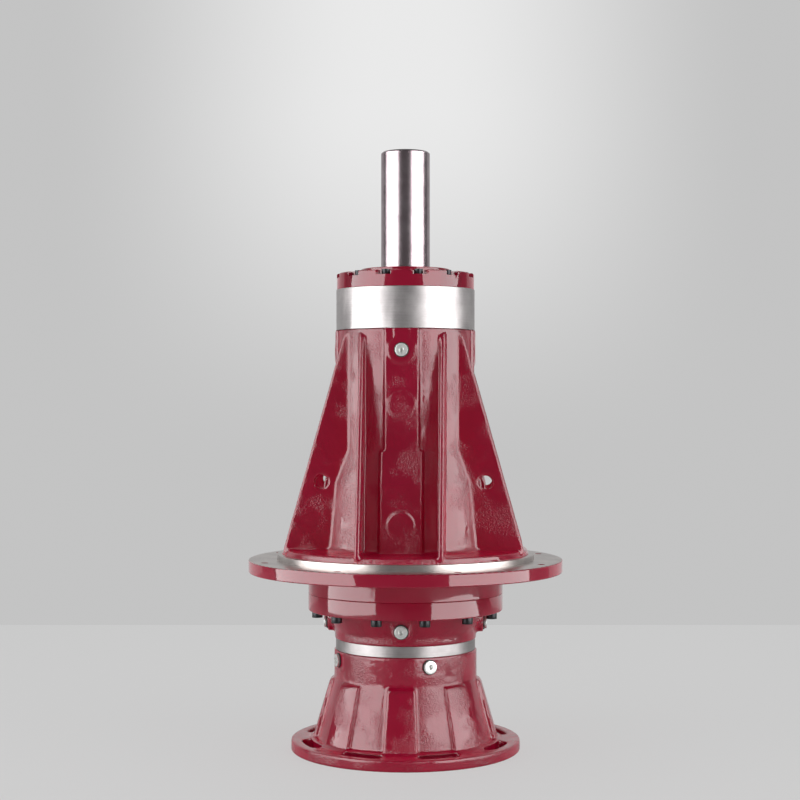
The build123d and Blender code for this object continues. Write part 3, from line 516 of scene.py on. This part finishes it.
levels = {
    "spigotTop": 298.7 * mm,
    "flangeFace": 290.1 * mm,
    "bandFoot": 639.3 * mm,
    "stageFlange": 213.1 * mm,
}
swellWave = 28 * mm
cutGap = 0.01 * mm
faceSlack = 0.2 * mm
cornerAngle = 28
chamferAngle = 40
castings = {
    "tower": {
        "voxel": 1.8 * mm, "passes": 6, "lump": 0.22 * mm, "boreRadius": 102.5 * mm,
        "footSink": 0.7 * mm, "topGap": 0.1 * mm,
    },
    "stage": {"voxel": 1.6 * mm, "passes": 6, "lump": 0.15 * mm, "boreRadius": 104.6 * mm},
    "bell": {"voxel": 1.6 * mm, "passes": 6, "lump": 0.18 * mm, "boreRadius": 76.0 * mm},
}


def relax(points, edges, passes, freedom):
    # moves each point towards the mean of its neighbours
    count = np.bincount(edges.ravel(), minlength=len(points))[:, None]
    for _ in range(passes):
        total = np.zeros_like(points)
        for axis in range(3):
            total[:, axis] += np.bincount(edges[:, 0], points[edges[:, 1], axis], len(points))
            total[:, axis] += np.bincount(edges[:, 1], points[edges[:, 0], axis], len(points))
        points = points + (total / count - points) * 0.5 * freedom
    return points


def lumpy(points, normals, size, wave):
    # slow swells of a sand casting, along each point's own normal
    swell = np.array([noise.noise(Vector(point) / wave) for point in points])
    return points + normals * (swell * size)[:, None]


def castShape(piece, look, free):
    # free takes the points and tells how far each one may move, from 0 to 1
    voxels = piece.modifiers.new("voxels", "REMESH")
    voxels.mode = "VOXEL"
    voxels.voxel_size = look["voxel"]
    bakeModifiers(piece)
    mesh = piece.data
    edges = np.empty(len(mesh.edges) * 2, dtype=np.int64)
    mesh.edges.foreach_get("vertices", edges)
    points = readPoints(mesh)
    freedom = free(points)[:, None]
    points = relax(points, edges.reshape(-1, 2), look["passes"], freedom)
    writePoints(mesh, points)
    normals = np.empty(len(points) * 3)
    mesh.vertices.foreach_get("normal", normals)
    points = lumpy(points, normals.reshape(-1, 3) * freedom, look["lump"], swellWave)
    writePoints(mesh, points)
    mesh.polygons.foreach_set("use_smooth", [True] * len(mesh.polygons))
    print(piece.name, "has", len(mesh.polygons), "faces")
    return piece


def blendIn(values, start, end):
    share = np.clip((values - start) / (end - start), 0, 1)
    return share * share * (3 - 2 * share)


def makeTower():
    look = castings["tower"]
    foot = levels["spigotTop"]
    cuts = {"low": foot - look["footSink"], "high": levels["bandFoot"] - look["topGap"]}
    tower = sliceOf("main_housing", "housing_tower", **cuts)

    def free(points):
        radius = np.hypot(points[:, 0], points[:, 1])
        outside = blendIn(radius, look["boreRadius"], look["boreRadius"] + 1 * mm)
        low = blendIn(points[:, 2], foot + 0.6 * mm, foot + 3 * mm)
        high = 1 - blendIn(points[:, 2], levels["bandFoot"] - 3 * mm, levels["bandFoot"] - 0.5 * mm)
        return outside * low * high

    castShape(tower, look, free)
    tower.data.materials.append(finishes["castPaint"])
    return tower


def makeFlange():
    flange = sliceOf("main_housing", "housing_flange", high=levels["spigotTop"] - cutGap)
    mesh = flange.data
    mesh.materials.append(finishes["rimPaint"])
    mesh.materials.append(finishes["faceSteel"])
    for face in mesh.polygons:
        bare = face.center.z > levels["flangeFace"] - faceSlack
        face.material_index = 1 if bare else 0
    shadeByAngle(mesh, cornerAngle)
    return flange


def makeBand():
    band = sliceOf("main_housing", "housing_band", low=levels["bandFoot"] + cutGap)
    band.data.materials.append(finishes["bandSteel"])
    shadeByAngle(band.data, cornerAngle)
    return band


def makeStage():
    look = castings["stage"]
    joint = levels["stageFlange"]
    barrel = sliceOf("intermediate_housing", "stage_barrel", high=joint + 2 * cutGap)
    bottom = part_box("intermediate_housing")[0].z

    def free(points):
        radius = np.hypot(points[:, 0], points[:, 1])
        outside = blendIn(radius, look["boreRadius"], look["boreRadius"] + 1 * mm)
        low = blendIn(points[:, 2], bottom + 0.5 * mm, bottom + 3 * mm)
        high = 1 - blendIn(points[:, 2], joint - 3 * mm, joint - 0.5 * mm)
        return outside * low * high

    castShape(barrel, look, free)
    barrel.data.materials.append(finishes["castPaint"])
    flange = sliceOf("intermediate_housing", "stage_flange", low=joint + cutGap)
    flange.data.materials.append(finishes["rimPaint"])
    shadeByAngle(flange.data, cornerAngle)
    return barrel, flange


def makeBell():
    look = castings["bell"]
    bell = sliceOf("motor_bell", "bell_casting")
    low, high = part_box("motor_bell")

    def free(points):
        radius = np.hypot(points[:, 0], points[:, 1])
        outside = blendIn(radius, look["boreRadius"], look["boreRadius"] + 1 * mm)
        foot = blendIn(points[:, 2], low.z + 6 * mm, low.z + 9 * mm)
        top = 1 - blendIn(points[:, 2], high.z - 3 * mm, high.z - 0.5 * mm)
        return outside * foot * top

    castShape(bell, look, free)
    bell.data.materials.append(finishes["castPaint"])
    return bell


for piece in (makeTower(), makeFlange(), makeBand()):
    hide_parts("main_housing")
    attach(piece, "root")
for piece in makeStage():
    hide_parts("intermediate_housing")
    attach(piece, "root")
bell = makeBell()
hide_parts("motor_bell")
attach(bell, "root")
print("castings made")


# Each CAD node's finish, by its name or a word in it

finishOf = {
    "seal_cover": "rimPaint",
    "output_shaft": "shaftSteel",
    "stage1_ring_gear": "bandSteel",
    "stage2_ring_gear": "gearSteel",
    "input_hub": "hubSteel",
    "cover_screws": "blackScrew",
    "stage_screws": "blackScrew",
    "bell_screws": "blackScrew",
    "ring_gear_screws": "blackScrew",
    "sun_gear_1_screw": "blackScrew",
    "bell_plugs": "zincPlug",
    "stage_plugs": "zincPlug",
    "housing_plugs": "zincPlug",
    "plug_washers": "sealWasher",
    "output_seal": "sealRubber",
    "input_seal": "sealRubber",
    "shaft_thrust_button": "buttonPlastic",
    "sun_thrust_button": "buttonPlastic",
}
finishByWord = {
    "bush": "bushBronze",
    "clip": "springSteel",
    "bearing": "bearingSteel",
    "carrier": "carrierSteel",
    "planet": "gearSteel",
    "sun_gear": "gearSteel",
}


def finishFor(name):
    if name in finishOf:
        return finishOf[name]
    if name.endswith("_pins"):
        return "bearingSteel"
    return next(finish for word, finish in finishByWord.items() if word in name)


# Pieces in view get their corners broken, each with its own chamfer width

chamfers = {
    "seal_cover": {"width": 0.5, "degrees": 35, "slot": "red_painted_casting"},
    "cover_screws": {"width": 0.4, "degrees": 50, "slot": "black_screw"},
    "stage_screws": {"width": 0.5, "degrees": 50, "slot": "black_screw"},
    "bell_plugs": {"width": 0.35, "degrees": 50, "slot": "zinc_plated_plug"},
    "stage_plugs": {"width": 0.35, "degrees": 50, "slot": "zinc_plated_plug"},
    "housing_plugs": {"width": 0.35, "degrees": 50, "slot": "zinc_plated_plug"},
}


def breakCorners(name, look):
    piece = sliceOf(name, name + "_chamfered")
    softenEdges(piece, look["width"] * mm, look["degrees"])
    bakeModifiers(piece)
    shadeByAngle(piece.data, chamferAngle)
    piece.data.materials.append(finishes[finishFor(name)])
    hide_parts(name)
    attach(piece, "root")


for name, look in chamfers.items():
    breakCorners(name, look)
print("corners broken")

for name, node in nodes.items():
    if node.hide_render:
        continue
    node.data.materials.clear()
    node.data.materials.append(finishes[finishFor(name)])
print("finishes given to the CAD nodes")


# Studio: floor, backdrop, two tall softboxes with a dark gap between them

studio = {
    "wallPlace": 1.376,
    "wallHalf": 2.2,
    "wallTall": 3.2,
    "floorHalf": 6.0,
    "floorTone": (0.665, 0.665, 0.665, 1),
    "floorGlow": 0.75,
    "floorRoughness": 0.7,
    "lampDrop": 0.02,
    "wallTone": 0.55,
    # painted light on the backdrop: a brighter pool towards the upper middle
    "wallHaze": 0.27,
    "hazeFoot": 0.35,
    "hazeTop": 1.25,
    "hazeCore": 0.05,
    "hazeEdge": 0.85,
    "skyAmbient": 0.30,
    "skySeen": 0.60,
    "skyMirrored": 0.12,
    "boxRadius": 1.4,
    "boxTall": 2.1,
    "leftFrom": -99.0,
    "leftTo": -34.0,
    "rightFrom": 28.0,
    "rightTo": 92.0,
    "cardShine": 5.5,
    "lampPower": 1.8,
}


def boxLamp(name, fromAngle, toAngle, radiance, glossy):
    # a tall softbox that stands round the unit between two bearings, seen from the camera's side
    bearing = math.radians(photoView["azimuth"])
    middle = math.radians((fromAngle + toAngle) / 2)
    half = math.radians((toAngle - fromAngle) / 2)
    turn = middle + bearing
    out = Vector((math.sin(turn), -math.cos(turn), 0))
    width = 2 * studio["boxRadius"] * math.sin(half)
    data = bpy.data.lights.new(name, "AREA")
    data.shape = "RECTANGLE"
    data.size = width
    data.size_y = studio["boxTall"]
    data.energy = radiance * math.pi * width * studio["boxTall"]
    lamp = addObject(name, data)
    height = studio["boxTall"] / 2 - studio["lampDrop"]
    lamp.location = out * studio["boxRadius"] * math.cos(half) + Vector((0, 0, height))
    lamp.rotation_euler = out.to_track_quat("Z", "Y").to_euler()
    lamp.visible_camera = False
    lamp.visible_glossy = glossy
    lamp.visible_diffuse = not glossy
    lamp.visible_transmission = glossy
    return lamp


def showFrontOnly(tree, surface):
    # clear from behind, so that views from there still see the unit
    clear = addNode(tree, "BsdfTransparent")
    back = addNode(tree, "NewGeometry").outputs["Backfacing"]
    mix = addNode(tree, "MixShader")
    tree.links.new(back, mix.inputs[0])
    tree.links.new(surface, mix.inputs[1])
    tree.links.new(clear.outputs[0], mix.inputs[2])
    tree.links.new(mix.outputs[0], tree.nodes["Material Output"].inputs["Surface"])


def studioFloor():
    half = studio["floorHalf"]
    mesh = bpy.data.meshes.new("studioFloor")
    corners = [(-half, -half, 0), (half, -half, 0), (half, half, 0), (-half, half, 0)]
    mesh.from_pydata(corners, [], [(0, 1, 2, 3)])
    floor = addObject("studioFloor", mesh)
    material = bpy.data.materials.new("studioFloor")
    material.use_nodes = True
    tree = material.node_tree
    shader = tree.nodes["Principled BSDF"]
    fill(shader, BaseColor=studio["floorTone"], Roughness=studio["floorRoughness"])
    glow = addNode(tree, "Emission")
    fill(glow, Color=studio["floorTone"], Strength=1.0)
    seen = addNode(tree, "LightPath").outputs["Is Camera Ray"]
    share = doMath(tree, "MULTIPLY", seen, studio["floorGlow"])
    mix = addNode(tree, "MixShader")
    tree.links.new(share, mix.inputs[0])
    tree.links.new(shader.outputs[0], mix.inputs[1])
    tree.links.new(glow.outputs[0], mix.inputs[2])
    showFrontOnly(tree, mix.outputs[0])
    mesh.materials.append(material)


def studioWall():
    y, half, tall = studio["wallPlace"], studio["wallHalf"], studio["wallTall"]
    mesh = bpy.data.meshes.new("studioWall")
    corners = [(-half, y, 0), (half, y, 0), (half, y, tall), (-half, y, tall)]
    mesh.from_pydata(corners, [], [(0, 1, 2, 3)])
    wall = addObject("studioWall", mesh)
    wall.rotation_euler = (0, 0, math.radians(photoView["azimuth"]))
    material = bpy.data.materials.new("studioWall")
    material.use_nodes = True
    tree = material.node_tree
    tree.nodes.remove(tree.nodes["Principled BSDF"])
    glow = addNode(tree, "Emission")
    place = addNode(tree, "TexCoord").outputs["Object"]
    split = addNode(tree, "SeparateXYZ")
    tree.links.new(place, split.inputs[0])
    # painted pool of light: the backdrop glows brighter towards the top and towards the middle
    up = remap(tree, split.outputs[2], studio["hazeFoot"], studio["hazeTop"])
    side = doMath(tree, "ABSOLUTE", split.outputs[0])
    middle = remap(tree, side, studio["hazeCore"], studio["hazeEdge"], 1.0, 0.0)
    paintedLightPool = doMath(tree, "MULTIPLY", doMath(tree, "MULTIPLY", up, middle), studio["wallHaze"])
    tone = doMath(tree, "ADD", studio["wallTone"], paintedLightPool)
    tree.links.new(tone, glow.inputs["Strength"])
    showFrontOnly(tree, glow.outputs[0])
    mesh.materials.append(material)


def studioSky():
    # pale to the camera, dim to reflections from the front, even for diffuse light
    world = bpy.data.worlds.new("studioSky")
    world.use_nodes = True
    scene.world = world
    tree = world.node_tree
    background = tree.nodes["Background"]
    path = addNode(tree, "LightPath")
    ambient = studio["skyAmbient"]
    seen = doMath(tree, "MULTIPLY", path.outputs["Is Camera Ray"], studio["skySeen"] - ambient)
    mirrored = doMath(tree, "MULTIPLY", path.outputs["Is Glossy Ray"], studio["skyMirrored"] - ambient)
    strength = doMath(tree, "ADD", ambient, doMath(tree, "ADD", seen, mirrored))
    fill(background, Color=(1, 1, 1, 1))
    tree.links.new(strength, background.inputs["Strength"])


studioFloor()
studioWall()
studioSky()
for name, fromKey, toKey in (("left", "leftFrom", "leftTo"), ("right", "rightFrom", "rightTo")):
    boxLamp(name + "Card", studio[fromKey], studio[toKey], studio["cardShine"], True)
    boxLamp(name + "Lamp", studio[fromKey], studio[toKey], studio["lampPower"], False)
scene.view_settings.view_transform = "Standard"
print("studio set")
